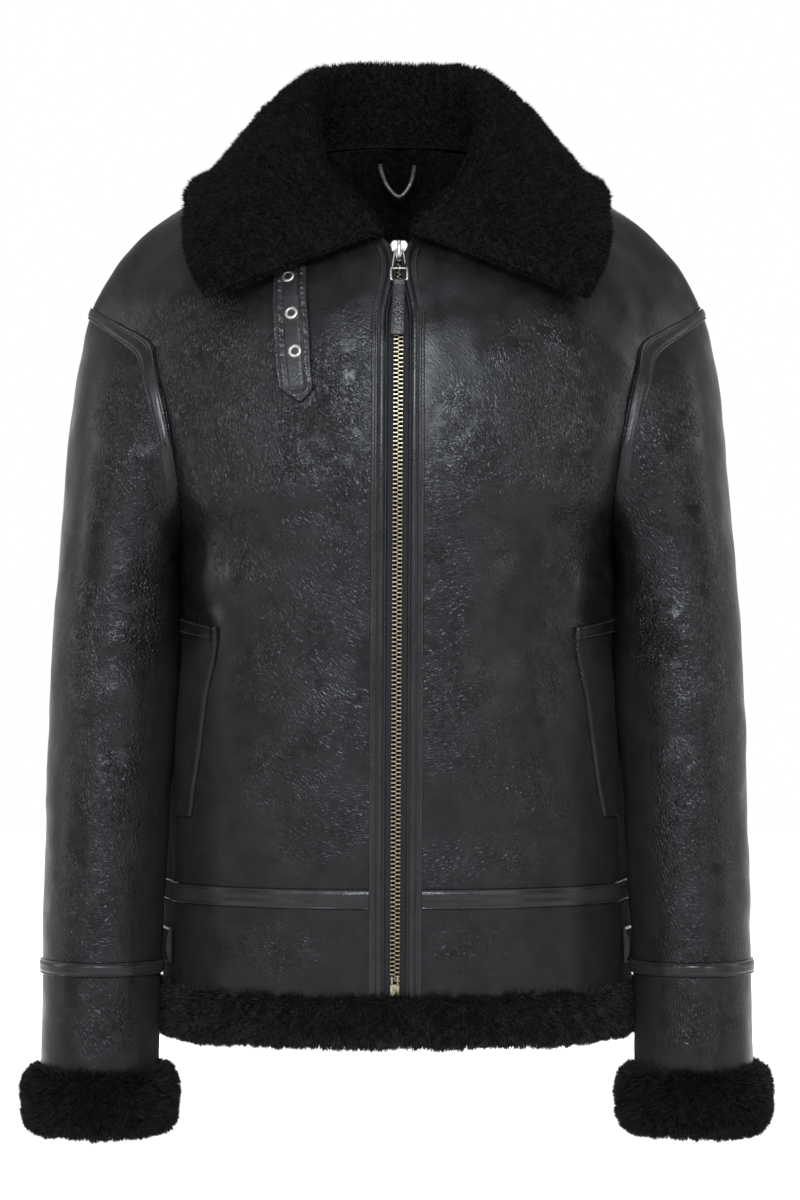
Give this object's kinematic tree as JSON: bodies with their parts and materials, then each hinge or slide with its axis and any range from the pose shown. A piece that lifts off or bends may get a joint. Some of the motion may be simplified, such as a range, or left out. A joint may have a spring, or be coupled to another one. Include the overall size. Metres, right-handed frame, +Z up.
{
  "type": "sheepskin flying jacket",
  "caption": "Hollow, filled-out black sheepskin flying jacket with a wide fur collar, fur hem and cuffs, full front zip and hanging sleeves.",
  "frame": {"origin": "middle of the neck base, where the wearer's shoulders carry the jacket", "axes": "+Z up, -Y to the front (the zip), +X to the wearer's left"},
  "size_m": [0.59, 0.2972, 0.8583],
  "materials": {
    "black_sheepskin": "black sheepskin leather side, fine pebble grain with smooth satin areas",
    "black_fur": "dense black sheepskin fur, matt",
    "black_leather": "smooth black leather strip, stitched near both edges, satin",
    "zip_tape_cloth": "black woven zip tape, matt",
    "antique_brass": "antique pale brass, satin",
    "nickel": "polished nickel"
  },
  "bodies": {
    "jacket": {"front_left": "black_sheepskin", "front_right": "black_sheepskin", "back": "black_sheepskin", "band_front_left": "black_sheepskin", "band_front_right": "black_sheepskin", "band_back": "black_sheepskin", "sleeve_left": "black_sheepskin", "sleeve_right": "black_sheepskin", "sleeve_low_left": "black_sheepskin", "sleeve_low_right": "black_sheepskin", "collar": "black_fur", "hem_fur": "black_fur", "cuff_fur_left": "black_fur", "cuff_fur_right": "black_fur", "placket_left": "black_leather", "placket_right": "black_leather", "waist_strip_left": "black_leather", "waist_strip_right": "black_leather", "waist_strip_back": "black_leather", "armhole_strip_left": "black_leather", "armhole_strip_right": "black_leather", "sleeve_strip_left": "black_leather", "sleeve_strip_right": "black_leather", "pocket_left": "black_leather", "pocket_right": "black_leather", "throat_strap": "black_leather", "side_strap_left": "black_leather", "side_strap_right": "black_leather", "side_keeper_left": "black_leather", "side_keeper_right": "black_leather", "hanger_loop": "black_leather", "zip_tape_left": "zip_tape_cloth", "zip_tape_right": "zip_tape_cloth", "zip_chain": "antique_brass", "zip_box": "antique_brass", "zip_slider": "nickel", "eyelet_1": "nickel", "eyelet_2": "nickel", "eyelet_3": "nickel", "side_buckle_left": "nickel", "side_buckle_right": "nickel"},
    "zip_pull": {"pull_frame": "nickel", "pull_tab": "black_leather"}
  },
  "joints": [
    {"name": "pull_hinge", "type": "hinge", "parent": "jacket", "child": "zip_pull", "pos_m": [0.00166, -0.10726, -0.049], "axis": [-1, 0, 0], "range_deg": [0, 150]}
  ]
}
